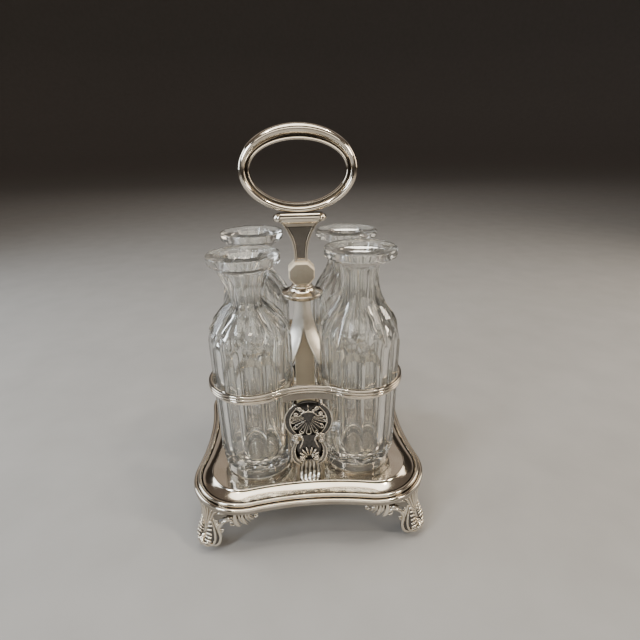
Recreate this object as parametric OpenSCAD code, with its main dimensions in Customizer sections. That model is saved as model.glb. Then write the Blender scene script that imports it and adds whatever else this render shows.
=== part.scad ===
// Four-bottle cruet set: a footed square tray, a wavy gallery with four rings,
// a tent of four straps round a column, a screwed-on loop handle and four cut-glass bottles.
// Millimetres. Origin on the table under the middle of the tray, +X right, +Y back, +Z up.

/* [Overall] */
// Height of the tray floor above the table
floor_z = 40.5; // [39:0.5:42]
// Height of the top of the gallery rail above the table
rail_z = 105.2; // [104:0.2:106.4]
// Distance between the centres of neighbouring bottles
pitch = 66; // [65:0.5:67]

/* [Tray] */
// Half of the tray's width, measured over its corner lobes
tray_half = 76; // [75:0.5:78]
// Radius of the corner lobes
lobe_r = 31; // [29:0.5:33]
// How far the middle of each side is drawn in
tray_waist = 4; // [3:0.5:5]
// Thickness of the tray's sheet
sheet = 1.2; // [1:0.1:1.4]
// Width of the moulded rim outside the flat floor
rim_w = 13.5; // [13:0.25:14.5]

/* [Feet] */
// Distance of each foot's pad from the middle planes
foot_xy = 64; // [63:0.5:64.5]
// Radius of each foot's toe
toe_r = 8.6; // [8:0.1:9]
// Radius of the flat pad under each foot
pad_r = 3.5; // [3:0.25:4.5]
// Length of each foot's two leaf wings
wing_len = 28; // [24:1:30]

/* [Gallery] */
// Outer radius of the rail round each bottle
rail_lobe_r = 27.4; // [27.3:0.1:28]
// Half of the gallery's width at the middle of a side
rail_mid = 51.6; // [51:0.1:52]
// Height of the rail
rail_h = 5; // [4.5:0.25:5.5]
// Inner radius of the four rings
ring_r = 24.8; // [24.75:0.05:24.9]
// Thickness of the rings' strip
ring_t = 0.7; // [0.6:0.05:0.75]
// Height of the rings' strip
ring_h = 6.5; // [6:0.5:8]

/* [Tent] */
// Height where the four straps meet under the collar
tent_top = 141.5; // [140:0.5:142]
// Thickness of a strap
strap_t = 1.2; // [1:0.1:1.4]
// Width of a strap once it stands free of its neighbours
strap_w = 11; // [10:0.5:12]
// Half of the width of the square column
column_half = 6.6; // [6:0.2:7]

/* [Handle] */
// Half of the width of the oval loop
loop_half_w = 35.5; // [33:0.5:37]
// Height of the loop above its lowest point
loop_h = 50.8; // [46:0.2:52]
// Thickness of the loop from front to back
loop_depth = 8.6; // [7:0.2:9]
// Thickness of the stem from front to back
stem_depth = 6.4; // [5:0.2:8]
// Width of the octagonal knop
knop_w = 16.8; // [15:0.2:18]

/* [Bottles] */
// Height of a bottle from its foot to its rim
bottle_h = 141.5; // [140:0.5:143]
// Radius of a bottle below its shoulder
bottle_r = 25; // [24.8:0.1:25.2]
// Radius of a bottle's plain foot
bottle_foot_r = 21.9; // [21:0.1:22.5]
// Radius of a bottle's flat rim
bottle_rim_r = 20.7; // [19:0.1:21.5]
// Radius of the ground bore in the neck, which takes a stopper
mouth_r = 7; // [6:0.25:7.5]
// Thickness of the glass in the body
wall = 5; // [4:0.25:6]

/* [Hidden] */
$fn = 64;

silver = [0.80, 0.79, 0.77];
dark_silver = [0.55, 0.53, 0.50];
steel = [0.45, 0.45, 0.46];
glass = [0.86, 0.90, 0.90, 0.55];

// Turns that carry a front-left corner piece, or a front side piece, to the other three places
FRONT_LEFT = 0;
FRONT_RIGHT = 90;
BACK_RIGHT = 180;
BACK_LEFT = 270;
FRONT = 0;
RIGHT = 90;
BACK = 180;
LEFT = 270;

well = pitch / 2;
corner_axis = well * sqrt(2);

// ---- lobed square outlines: four convex lobes joined by four shallow hollows, all tangent ----

// Radius of the hollow between two lobes of radius r centred c from the middle planes
function hollow_r(c, r, waist) = (c * c - 2 * r * waist + waist * waist) / (2 * waist);
// Angle at which a lobe hands over to a hollow
function handover(c, r, waist) = asin(c / (r + hollow_r(c, r, waist)));
// Points of the outline drawn in by s: one lobe and one hollow, four times
function lobed_points(c, r, waist, s, steps) =
    let (big = hollow_r(c, r, waist), a = handover(c, r, waist), mid = c + r - waist + big)
    [for (q = [0 : 3])
        let (turn = 90 * q)
        each concat(
            [for (i = [0 : steps])
                let (t = -a + (90 + 2 * a) * i / steps)
                spin(turn, [c + (r - s) * cos(t), c + (r - s) * sin(t)])],
            [for (i = [1 : steps - 1])
                let (t = -90 + a - 2 * a * i / steps)
                spin(turn, [(big + s) * cos(t), mid + (big + s) * sin(t)])]
        )];
function spin(t, p) = [p[0] * cos(t) - p[1] * sin(t), p[0] * sin(t) + p[1] * cos(t)];

// Sweeps a section round a lobed square. The section lists [distance outside the outline, height],
// anticlockwise.
module lobed_sweep(c, r, waist, section, steps) {
    rings = [for (p = section) lobed_points(c, r, waist, -p[0], steps)];
    count = len(rings[0]);
    sides = len(section);
    points = [for (i = [0 : count - 1]) for (j = [0 : sides - 1])
        [rings[j][i][0], rings[j][i][1], section[j][1]]];
    faces = [for (i = [0 : count - 1]) for (j = [0 : sides - 1])
        let (a = i * sides, b = ((i + 1) % count) * sides, k = (j + 1) % sides)
        [a + j, b + j, b + k, a + k]];
    polyhedron(points, faces, convexity = 8);
}
// Points of an arc from angle a to angle b, about a centre
function arc(centre, r, a, b, steps) =
    [for (i = [0 : steps]) let (t = a + (b - a) * i / steps) centre + r * [cos(t), sin(t)]];

// ---- tray ----

lobe_c = tray_half - lobe_r;
tray_edge_z = floor_z - 5.9;
bracket_y = 52.6;
stud_r = 1.5;
rod_r = 2.5;
clearance = 0.1;
lobe_steps = 10;
ledge = 2;
fit_gap = 0.05;
// The rim rolls over from the floor, steps down and slopes out to the edge. Inside, it has a ledge
// on which the floor plate is soldered.
rim_top = [
    [-1.2, tray_edge_z], [-5.6, floor_z - 3.2], [-6.3, floor_z - 1.9], [-8, floor_z - 0.9],
    [-9.8, floor_z - 0.6], [-rim_w + fit_gap, floor_z]
];
rim_bottom = concat(
    [[-rim_w - ledge, floor_z - 2 * sheet]],
    [for (i = [4 : -1 : 0]) [rim_top[i][0], rim_top[i][1] - sheet - (i > 2 ? 0.7 : 0)]]
);
rim_ledge = [
    [-rim_w + fit_gap, floor_z - sheet - fit_gap], [-rim_w - ledge, floor_z - sheet - fit_gap]
];
module base_rim() {
    color(silver) lobed_sweep(lobe_c, lobe_r, tray_waist, concat(rim_bottom, rim_top, rim_ledge), lobe_steps);
}
module base_floor() {
    color(silver) translate([0, 0, floor_z - sheet]) difference() {
        linear_extrude(sheet) polygon(lobed_points(lobe_c, lobe_r, tray_waist, rim_w, lobe_steps));
        cylinder(r = rod_r + clearance, h = 4 * sheet, center = true);
        for (q = [0 : 3]) rotate([0, 0, 90 * q]) translate([0, -bracket_y, 0])
            cylinder(r = stud_r + clearance, h = 4 * sheet, center = true);
    }
}

// Two reeds and a square edge, soldered on the slope of the rim
border_drop = 7.15;
border_low = floor_z - border_drop;
slope = (rim_top[1][1] - rim_top[0][1]) / (rim_top[1][0] - rim_top[0][0]);
function slope_z(x) = tray_edge_z + fit_gap + slope * (x + 1.2);
function reed(x, r) = arc([x, slope_z(x) + 0.7], r, -10, 150, 6);
border_section = concat(
    [[-5.4, slope_z(-5.4)], [-1.15, slope_z(-1.15)], [-1.15, border_low], [0, border_low],
        [0, border_low + 1.9]],
    reed(-1.7, 1.35), reed(-4.1, 1.35)
);
module base_border() {
    color(silver) lobed_sweep(lobe_c, lobe_r, tray_waist, border_section, lobe_steps);
}

// ---- feet ----

foot_r = foot_xy * sqrt(2);
foot_top = border_low - clearance / 2;
wing_t = 2.4;
wing_h = 6;
wing_start = foot_xy + 1;
wing_y = foot_xy + 5.5;
// Outline of the bulging toe and the leg above it: distance from the leg's axis, and height
leg_profile = [
    [0, 0], [pad_r, 0], [toe_r - 2.4, 2.4], [toe_r - 0.6, 5.6], [toe_r, 9], [toe_r - 0.4, 13],
    [toe_r - 1.6, 17], [toe_r - 3.2, 21], [5, 25], [5.4, foot_top], [0, foot_top]
];
toe_beads = 7;
module leg() {
    rotate([0, 0, -90]) rotate_extrude(angle = 180) polygon(leg_profile);
    translate([-2.5, -pad_r, 0]) cube([3, 2 * pad_r, foot_top]);
    for (k = [0 : toe_beads - 1]) rotate([0, 0, 24 * (k - (toe_beads - 1) / 2)])
        translate([toe_r - 1, 0, 13]) sphere(r = 1.2, $fn = 24);
}
module wing() {
    translate([0, wing_t / 2, 0]) rotate([90, 0, 0]) linear_extrude(wing_t) {
        translate([0, foot_top - wing_h]) square([wing_len, wing_h]);
        for (k = [0 : 4]) translate([wing_len * (0.4 + 0.14 * k), foot_top - wing_h])
            circle(r = 4.6 - 0.8 * abs(k - 1), $fn = 24);
    }
}
module foot(turn) {
    color(dark_silver) rotate([0, 0, turn]) {
        rotate([0, 0, -135]) translate([foot_r, 0, 0]) leg();
        for (m = [0, 1]) mirror([m, -m, 0])
            translate([-wing_start, -wing_y, 0]) wing();
    }
}

// ---- brackets ----

bracket_t = 2.6;
upper_r = 14;
upper_z = rail_z - 23.4;
lower_r = 9.8;
lower_z = floor_z + 11.6;
waist_w = 13;
acanthus_w = 14;
plate_t = 1.5;
// Side view of the leaf that turns out on to the tray: distance behind the bracket, and height
acanthus_side = [[1.3, 0], [-5.6, 0], [-5.4, 0.8], [-3.6, 2], [-1.9, 5], [-1.3, 9], [1.3, 9]];
module scroll_ring(r, t) {
    difference() {
        cylinder(r = r, h = bracket_t);
        translate([0, 0, -1]) cylinder(r = r - t, h = bracket_t + 2);
    }
}
// Ribs that fan out from a boss, each ending in a bead
module rib_fan(r, count, spread, rib_r) {
    root = r / 2.2;
    cylinder(r = root + 0.3, h = bracket_t - 0.2);
    for (k = [0 : count - 1]) rotate([0, 0, -90 + spread * (k / (count - 1) - 0.5)])
        translate([root, 0, plate_t]) {
            rotate([0, 90, 0]) cylinder(r = rib_r, h = r - root, $fn = 24);
            translate([r - root, 0, 0]) sphere(r = rib_r * 1.4, $fn = 24);
        }
}
// Cast bracket with two shell medallions, standing in the XZ plane and facing the front
module bracket(turn) {
    neck_low = lower_z + lower_r - 3;
    color(dark_silver) rotate([0, 0, turn]) {
        translate([0, -bracket_y + bracket_t / 2, 0]) rotate([90, 0, 0]) {
            translate([0, upper_z, 0]) {
                cylinder(r = upper_r - 1, h = plate_t);
                scroll_ring(upper_r, 2.2);
                translate([0, 3, 0]) rib_fan(8.2, 9, 240, 0.8);
            }
            translate([0, lower_z, 0]) {
                cylinder(r = lower_r - 1, h = plate_t);
                scroll_ring(lower_r, 2);
                translate([0, -3.4, 0]) mirror([0, 1, 0]) rib_fan(6.4, 5, 120, 0.8);
            }
            translate([-waist_w / 2, neck_low, 0])
                cube([waist_w, upper_z - upper_r + 3 - neck_low, bracket_t - 0.4]);
            translate([-acanthus_w / 2, floor_z, 0])
                cube([acanthus_w, lower_z - lower_r + 3 - floor_z, bracket_t - 0.3]);
        }
        translate([-acanthus_w / 2, -bracket_y, floor_z]) rotate([90, 0, 90])
            linear_extrude(acanthus_w) polygon(acanthus_side);
        translate([0, -bracket_y, floor_z - 5.4]) cylinder(r = stud_r, h = 6.4);
    }
}

nut_half = 3;
nut_h = 2.4;
module bracket_nuts() {
    color(steel) for (q = [0 : 3]) rotate([0, 0, 90 * q])
        translate([0, -bracket_y, floor_z - sheet - nut_h]) difference() {
            translate([-nut_half, -nut_half, 0]) cube([2 * nut_half, 2 * nut_half, nut_h]);
            translate([0, 0, -1]) cylinder(r = stud_r + clearance / 2, h = nut_h + 2);
        }
}

// ---- gallery ----

rail_waist = well + rail_lobe_r - rail_mid;
rail_hollow = hollow_r(well, rail_lobe_r, rail_waist);
rail_t = rail_lobe_r - ring_r - ring_t - 1.5 * clearance;
rail_reed = rail_h / 3;
rail_steps = 15;
rail_section = concat(
    [[-rail_t, rail_z - rail_h + 0.3]],
    [for (i = [0 : 2]) each arc([-rail_reed / 2, rail_z - rail_h + rail_reed * (i + 0.5)],
        rail_reed / 2, -80, 80, 3)],
    [[-rail_t, rail_z - 0.3]]
);
module gallery_rail() {
    color(silver) lobed_sweep(well, rail_lobe_r, rail_waist, rail_section, rail_steps);
}

// Short band under the rail at the middle of each side, where the bracket is soldered
fascia_h = 4.3;
fascia_half = 16.5;
module fascia(turn) {
    span = asin(fascia_half / (rail_hollow + 1));
    color(silver) rotate([0, 0, turn]) translate([0, -rail_mid - rail_hollow, 0])
        rotate([0, 0, 90 - span]) rotate_extrude(angle = 2 * span)
            translate([rail_hollow + 0.4, rail_z - rail_h - fascia_h]) square([1, fascia_h]);
}

module ring(turn) {
    color(silver) rotate([0, 0, turn]) translate([-well, -well, rail_z - ring_h])
        rotate_extrude($fn = 96) translate([ring_r, 0]) square([ring_t, ring_h]);
}

// ---- tent of straps and column ----

strap_low = rail_z - ring_h + 1;
strap_far = corner_axis - ring_r - ring_t - 0.1;
strap_near = 4;
strap_steps = 18;
flare = 2.6;
// Distance of a strap's outer face from the axis, at a fraction f of its length from the top
function strap_d(f) = strap_near + (strap_far - strap_near) * pow(f, flare);
// Half of a strap's width: it meets its neighbours until it reaches its own width
function strap_half(f) = min(strap_d(f) - 0.15, strap_w / 2);
function strap_zed(f) = tent_top - (tent_top - strap_low) * f;
module strap(turn) {
    outer = [for (i = [0 : strap_steps]) let (f = i / strap_steps) [strap_d(f), strap_zed(f)]];
    inner = [for (i = [strap_steps : -1 : 0]) let (f = i / strap_steps)
        [strap_d(f) - strap_t, strap_zed(f)]];
    right = [for (i = [0 : strap_steps]) let (f = i / strap_steps) [strap_half(f), strap_zed(f)]];
    left = [for (i = [strap_steps : -1 : 0]) let (f = i / strap_steps)
        [-strap_half(f), strap_zed(f)]];
    color(silver) rotate([0, 0, turn - 135]) intersection() {
        translate([0, 10, 0]) rotate([90, 0, 0]) linear_extrude(20) polygon(concat(outer, inner));
        rotate([90, 0, 90]) linear_extrude(30) polygon(concat(right, left));
        linear_extrude(tent_top + 1) polygon([[clearance, 0], [50, 50 - clearance], [50, clearance - 50]]);
    }
}

column_top = 121.5;
tangent_f = 0.55;
tangent_slope =
    flare * (strap_far - strap_near) * pow(tangent_f, flare - 1) / (tent_top - strap_low);
// Distance from the axis to the inside of the straps, along a straight line that touches them
function tent_room(z) =
    strap_d(tangent_f) - strap_t - clearance - tangent_slope * (z - strap_zed(tangent_f));
module column() {
    color(silver) difference() {
        intersection() {
            translate([-column_half, -column_half, floor_z])
                cube([2 * column_half, 2 * column_half, column_top - floor_z]);
            translate([0, 0, floor_z - 1]) cylinder(
                r1 = sqrt(2) * tent_room(floor_z - 1), r2 = sqrt(2) * tent_room(column_top + 1),
                h = column_top - floor_z + 2, $fn = 4);
        }
        translate([0, 0, floor_z - 1]) cylinder(r = rod_r + 2 * clearance, h = column_top);
    }
}

// ---- tie rod and its fasteners ----

rod_top = 157;
rod_low = floor_z - 9.5;
washer_r = 9;
washer_h = 1.6;
nut_r = 6.5;
tie_nut_h = 4.6;
module tie_rod() {
    color(steel) translate([0, 0, rod_low]) cylinder(r = rod_r, h = rod_top - rod_low);
}
module tie_washer() {
    color(steel) translate([0, 0, floor_z - sheet - washer_h]) difference() {
        cylinder(r = washer_r, h = washer_h);
        translate([0, 0, -1]) cylinder(r = rod_r + 2 * clearance, h = washer_h + 2);
    }
}
module tie_nut() {
    color(steel) translate([0, 0, floor_z - sheet - washer_h - tie_nut_h]) difference() {
        cylinder(r = nut_r, h = tie_nut_h, $fn = 6);
        translate([0, 0, -1]) cylinder(r = rod_r + clearance / 2, h = tie_nut_h + 2);
    }
}

// ---- handle ----

collar_r = 13.5;
collar_low = tent_top + 0.2;
collar_high = 150;
rod_hole = rod_r + clearance;
module collar() {
    color(silver) rotate_extrude() polygon([
        [rod_hole, collar_low], [7.6, collar_low], [8.4, collar_low + 1.4], [collar_r - 1, 144.8],
        [collar_r, 145.6], [collar_r, 147], [collar_r - 0.8, 147.6], [10, 148.4], [7.4, collar_high],
        [rod_hole, collar_high]
    ]);
}
neck_high = 153;
module neck() {
    color(silver) rotate_extrude() polygon([
        [rod_hole, collar_high], [7.2, collar_high], [7, collar_high + 0.8], [5.8, collar_high + 1.4],
        [5.6, collar_high + 2.2], [6, neck_high], [rod_hole, neck_high]
    ]);
}
knop_high = 167.5;
knop_blind = rod_top + 0.5;
knop_top_half = 4.3;
knop_low_half = 5.2;
module knop_face() {
    half = knop_w / 2;
    polygon([
        [-knop_low_half, neck_high], [knop_low_half, neck_high], [half, neck_high + 4.6],
        [half, knop_high - 5], [knop_top_half, knop_high], [-knop_top_half, knop_high],
        [-half, knop_high - 5], [-half, neck_high + 4.6]
    ]);
}
module knop() {
    deep = knop_w - 3;
    color(silver) difference() {
        intersection() {
            translate([0, deep / 2, 0]) rotate([90, 0, 0]) linear_extrude(deep) knop_face();
            translate([-knop_w / 2, 0, 0]) rotate([90, 0, 90]) linear_extrude(knop_w) knop_face();
        }
        translate([0, 0, neck_high - 1]) cylinder(r = rod_hole, h = knop_blind - neck_high + 1);
    }
}

stem_high = 191.6;
stem_low_half = 4.4;
stem_top_half = 11.2;
stem_steps = 14;
panel_inset = 1.7;
panel_deep = 0.7;
function stem_half(f) = stem_low_half + (stem_top_half - stem_low_half) * pow(f, 2.7);
module stem_face(inset) {
    low = knop_high + (inset > 0 ? 0.4 : 0);
    span = stem_high - inset - low;
    side = [for (i = [0 : stem_steps]) let (f = i / stem_steps)
        [stem_half(f) - inset, low + span * f]];
    back = [for (i = [stem_steps : -1 : 0]) [-side[i][0], side[i][1]]];
    polygon(concat(side, back));
}
module stem() {
    color(silver) difference() {
        translate([0, stem_depth / 2, 0]) rotate([90, 0, 0]) linear_extrude(stem_depth) stem_face(0);
        for (s = [-1, 1]) translate([0, s * stem_depth / 2 + panel_deep, 0]) rotate([90, 0, 0])
            linear_extrude(2 * panel_deep) stem_face(panel_inset);
    }
}

cap_half = [12.8, 16.4, 14.6];
cap_h = [1.4, 3.2, 1.4];
cap_depth = [7.4, 10, 8];
module cap_layer(i, z) {
    r = cap_depth[i] / 2;
    translate([0, 0, z]) {
        for (s = [-1, 1]) translate([s * (cap_half[i] - r), 0, 0]) cylinder(r = r, h = cap_h[i]);
        translate([r - cap_half[i], -r, 0]) cube([2 * (cap_half[i] - r), 2 * r, cap_h[i]]);
    }
}
cap_high = stem_high + cap_h[0] + cap_h[1] + cap_h[2];
module stem_cap() {
    color(silver) {
        cap_layer(0, stem_high);
        cap_layer(1, stem_high + cap_h[0]);
        cap_layer(2, stem_high + cap_h[0] + cap_h[1]);
    }
}

// Oval loop whose section grows from the bottom to the top
loop_low = cap_high;
loop_top_t = 9.4;
loop_side_t = 6.2;
loop_low_t = 5.4;
loop_rings = 56;
loop_sides = 12;
function loop_t(a) = let (s = sin(a))
    loop_side_t + (s > 0 ? (loop_top_t - loop_side_t) : (loop_low_t - loop_side_t)) * s * s;
function loop_ring(i) =
    let (
        a = 360 * i / loop_rings,
        half_h = loop_h / 2,
        out = [loop_half_w * cos(a), loop_low + half_h + half_h * sin(a)],
        n = [cos(a) / loop_half_w, sin(a) / half_h],
        inward = -n / norm(n),
        t = loop_t(a) / 2
    )
    [for (j = [0 : loop_sides - 1])
        let (b = 360 * j / loop_sides, k = out + inward * (t - t * cos(b)))
        [k[0], loop_depth / 2 * sin(b), k[1]]];
module handle_loop() {
    points = [for (i = [0 : loop_rings - 1]) each loop_ring(i)];
    faces = [for (i = [0 : loop_rings - 1]) for (j = [0 : loop_sides - 1])
        let (
            i2 = (i + 1) % loop_rings, j2 = (j + 1) % loop_sides,
            a = i * loop_sides, b = i2 * loop_sides
        )
        [a + j, a + j2, b + j2, b + j]];
    color(silver) polyhedron(points, faces, convexity = 6);
}

// ---- bottles ----

foot_h = 6.5;
body_low_r = bottle_r - 1.6;
shoulder_low = 96.5;
shoulder_high = 114.5;
neck_r = 11;
lip_t = 4;
flare_low = 121.5;
glass_floor = 11;
throat_low = 130;
throat_r = 11;
body_steps = 10;
flutes = 10;
flute_r = 10;
flute_deep = 0.9;
// Smooth step from 0 to 1
function ease(f) = (1 - cos(180 * f)) / 2;
bottle_outline = concat(
    [[0, 0], [bottle_foot_r - 0.8, 0], [bottle_foot_r, 1.5], [bottle_foot_r, foot_h],
        [body_low_r, foot_h + 1.6], [bottle_r, shoulder_low - 10]],
    [for (i = [0 : body_steps]) let (f = i / body_steps)
        [neck_r + (bottle_r - neck_r) * ease(1 - f), shoulder_low + (shoulder_high - shoulder_low) * f]],
    [for (i = [0 : body_steps]) let (f = i / body_steps)
        [neck_r + (bottle_rim_r - 0.4 - neck_r) * pow(f, 2.2),
            flare_low + (bottle_h - lip_t - flare_low) * f]],
    [[bottle_rim_r, bottle_h - lip_t + 0.5], [bottle_rim_r, bottle_h - 0.6],
        [bottle_rim_r - 0.6, bottle_h], [0, bottle_h]]
);
cavity_r = bottle_r - wall;
cavity_outline = concat(
    [[0, glass_floor], [cavity_r - 5, glass_floor], [cavity_r - 1.4, glass_floor + 1.5],
        [cavity_r, glass_floor + 5]],
    [for (i = [0 : body_steps]) let (f = i / body_steps)
        [mouth_r + (cavity_r - mouth_r) * ease(1 - f),
            shoulder_low - 3 + (shoulder_high - shoulder_low) * f]],
    [[0, shoulder_high - 3]]
);
module bottle(turn) {
    tilt = atan((bottle_r - body_low_r) / (shoulder_low - foot_h));
    color(glass) rotate([0, 0, turn]) translate([-well, -well, floor_z]) difference() {
        rotate_extrude($fn = 96) polygon(bottle_outline);
        rotate_extrude($fn = 96) polygon(cavity_outline);
        translate([0, 0, shoulder_high - 4]) cylinder(r = mouth_r, h = bottle_h);
        rotate_extrude() polygon([
            [0, throat_low], [mouth_r, throat_low], [throat_r, bottle_h], [throat_r, bottle_h + 1],
            [0, bottle_h + 1]
        ]);
        for (k = [0 : flutes - 1]) rotate([0, 0, 360 * k / flutes])
            translate([body_low_r + flute_r - flute_deep, 0, foot_h + 1.6]) rotate([0, tilt, 0])
                cylinder(r = flute_r, h = shoulder_low - foot_h);
    }
}

base_floor();
base_rim();
base_border();
foot(FRONT_LEFT);  // foot_front_left
foot(FRONT_RIGHT);  // foot_front_right
foot(BACK_LEFT);  // foot_back_left
foot(BACK_RIGHT);  // foot_back_right
bracket(FRONT);  // bracket_front
bracket(BACK);  // bracket_back
bracket(LEFT);  // bracket_left
bracket(RIGHT);  // bracket_right
bracket_nuts();
fascia(FRONT);  // fascia_front
fascia(BACK);  // fascia_back
fascia(LEFT);  // fascia_left
fascia(RIGHT);  // fascia_right
gallery_rail();
ring(FRONT_LEFT);  // ring_front_left
ring(FRONT_RIGHT);  // ring_front_right
ring(BACK_LEFT);  // ring_back_left
ring(BACK_RIGHT);  // ring_back_right
strap(FRONT_LEFT);  // strap_front_left
strap(FRONT_RIGHT);  // strap_front_right
strap(BACK_LEFT);  // strap_back_left
strap(BACK_RIGHT);  // strap_back_right
column();
tie_rod();
tie_washer();
tie_nut();
collar();
neck();
knop();
stem();
stem_cap();
handle_loop();
bottle(FRONT_LEFT);  // bottle_front_left
bottle(FRONT_RIGHT);  // bottle_front_right
bottle(BACK_LEFT);  // bottle_back_left
bottle(BACK_RIGHT);  // bottle_back_right
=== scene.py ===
"""A silver cruet set with four cut-glass bottles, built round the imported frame.

Lengths in this file are millimetres until piece() turns them into metres.
"""
import math

import bpy
import bmesh
import numpy as np
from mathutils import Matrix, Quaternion, Vector


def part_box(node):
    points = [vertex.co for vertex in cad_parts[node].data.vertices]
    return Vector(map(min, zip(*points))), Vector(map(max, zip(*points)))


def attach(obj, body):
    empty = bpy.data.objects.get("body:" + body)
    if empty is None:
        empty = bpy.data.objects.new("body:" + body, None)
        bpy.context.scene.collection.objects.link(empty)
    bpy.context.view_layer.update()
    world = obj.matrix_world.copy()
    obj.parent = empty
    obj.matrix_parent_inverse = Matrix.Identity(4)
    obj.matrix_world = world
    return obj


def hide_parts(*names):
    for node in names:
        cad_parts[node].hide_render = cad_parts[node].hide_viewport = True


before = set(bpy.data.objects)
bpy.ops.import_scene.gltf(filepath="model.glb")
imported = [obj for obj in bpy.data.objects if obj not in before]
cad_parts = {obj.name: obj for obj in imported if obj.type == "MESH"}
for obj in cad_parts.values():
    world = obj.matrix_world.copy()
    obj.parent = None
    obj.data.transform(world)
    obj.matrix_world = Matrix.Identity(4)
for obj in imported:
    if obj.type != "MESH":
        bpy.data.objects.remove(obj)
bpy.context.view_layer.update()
scene = bpy.context.scene
MM = 0.001

# ---------------------------------------------------------------- places taken from the frame


def mm_box(node):
    """The low and high corners of a CAD piece's box."""
    low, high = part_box(node)
    return np.array(low) / MM, np.array(high) / MM


def z_range(node):
    """The lowest and the highest Z of a CAD piece."""
    return (corner[2] for corner in mm_box(node))


RING_WALL = 0.7
FOOT_REACH = 8.8  # from a foot's outermost point in to the middle of its toe
floor_top = mm_box("base_floor")[1][2]
border_low = mm_box("base_border")[0][2]
tray_half = mm_box("base_border")[1][0]
rail_low, rail_high = z_range("gallery_rail")
rail_half = mm_box("gallery_rail")[1][0]
fascia_low = mm_box("fascia_front")[0][2]
fascia_half = mm_box("fascia_front")[1][0]
rail_points = [v.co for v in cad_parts["gallery_rail"].data.vertices]
rail_mid = max(-p.y for p in rail_points if abs(p.x) < 3 * MM) / MM
strap_low, strap_top = z_range("strap_front_left")
bottle_low = mm_box("bottle_front_left")[0][2]
well = -(mm_box("bottle_front_left")[0][0] + mm_box("bottle_front_left")[1][0]) / 2
ring_inner = mm_box("ring_front_left")[1][0] + well - RING_WALL
foot_centre = -mm_box("foot_front_left")[0][0] - FOOT_REACH

CORNERS = {"front_left": 0, "front_right": 90, "back_right": 180, "back_left": 270}
SIDES = {"front": 0, "right": 90, "back": 180, "left": 270}


def turned(points, degrees):
    """Points turned about the Z axis."""
    a = math.radians(degrees)
    x, y, z = np.asarray(points, float).T
    return np.c_[x * math.cos(a) - y * math.sin(a), x * math.sin(a) + y * math.cos(a), z]


# ---------------------------------------------------------------- mesh tools


def circle(steps):
    """Angles spaced evenly round a full turn."""
    return np.linspace(0, 2 * math.pi, steps, endpoint=False)


def level(loop, z):
    """A loop of (x, y) points laid flat at one height."""
    return np.c_[loop, np.full(len(loop), z)]


def stretched(values, count):
    """A list of values resampled evenly to another count."""
    return np.interp(np.linspace(0, 1, count), np.linspace(0, 1, len(values)), values)


def quads(rows, columns, joined=False):
    """Faces between closed rows of points; joined takes the last row back to the first."""
    faces = []
    for i in range(rows if joined else rows - 1):
        for j in range(columns):
            a, b = i * columns, (i + 1) % rows * columns
            k = (j + 1) % columns
            faces.append((a + j, b + j, b + k, a + k))
    return faces


def tipped(rows, columns):
    """Faces of closed rows of points between two tips, which come last in the list of points."""
    first, last, end = rows * columns, rows * columns + 1, (rows - 1) * columns
    faces = quads(rows, columns)
    faces += [(first, j, (j + 1) % columns) for j in range(columns)]
    faces += [(end + j, end + (j + 1) % columns, last) for j in range(columns)]
    return faces


TIP = 0.6  # how far a bar's pointed end reaches past its last ring, in radii there


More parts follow.
